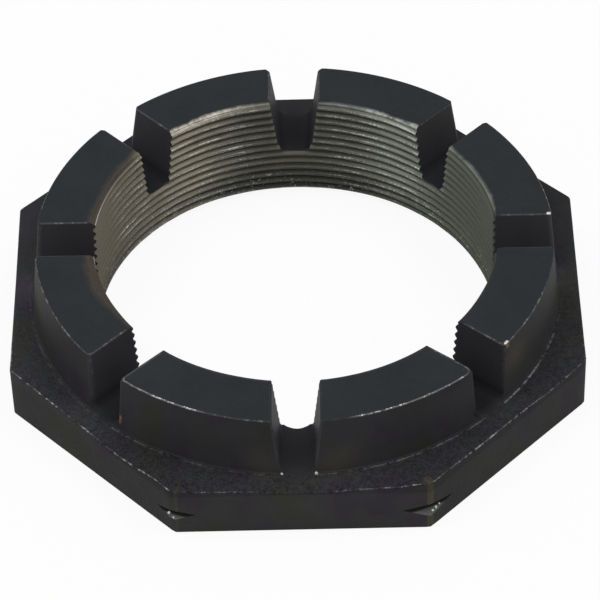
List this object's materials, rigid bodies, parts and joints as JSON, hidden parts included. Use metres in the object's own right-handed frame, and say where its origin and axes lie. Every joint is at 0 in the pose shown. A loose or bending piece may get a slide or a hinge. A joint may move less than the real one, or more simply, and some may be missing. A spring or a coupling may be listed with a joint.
{
  "type": "castle nut",
  "caption": "Large octagonal castle nut: a low flange with flats for a wrench, a slotted round crown for a split pin or lock, and a fine-threaded bore.",
  "frame": {"origin": "centre of the bearing face, on the thread's axis", "axes": "+Z along the thread's axis towards the slotted crown, -Y towards the front flat and its slot"},
  "size_m": [0.125, 0.125, 0.0274],
  "materials": {
    "steel": "black oxide over forged steel, bore left bare"
  },
  "bodies": {
    "root": {"castle_nut": "steel"}
  },
  "joints": []
}
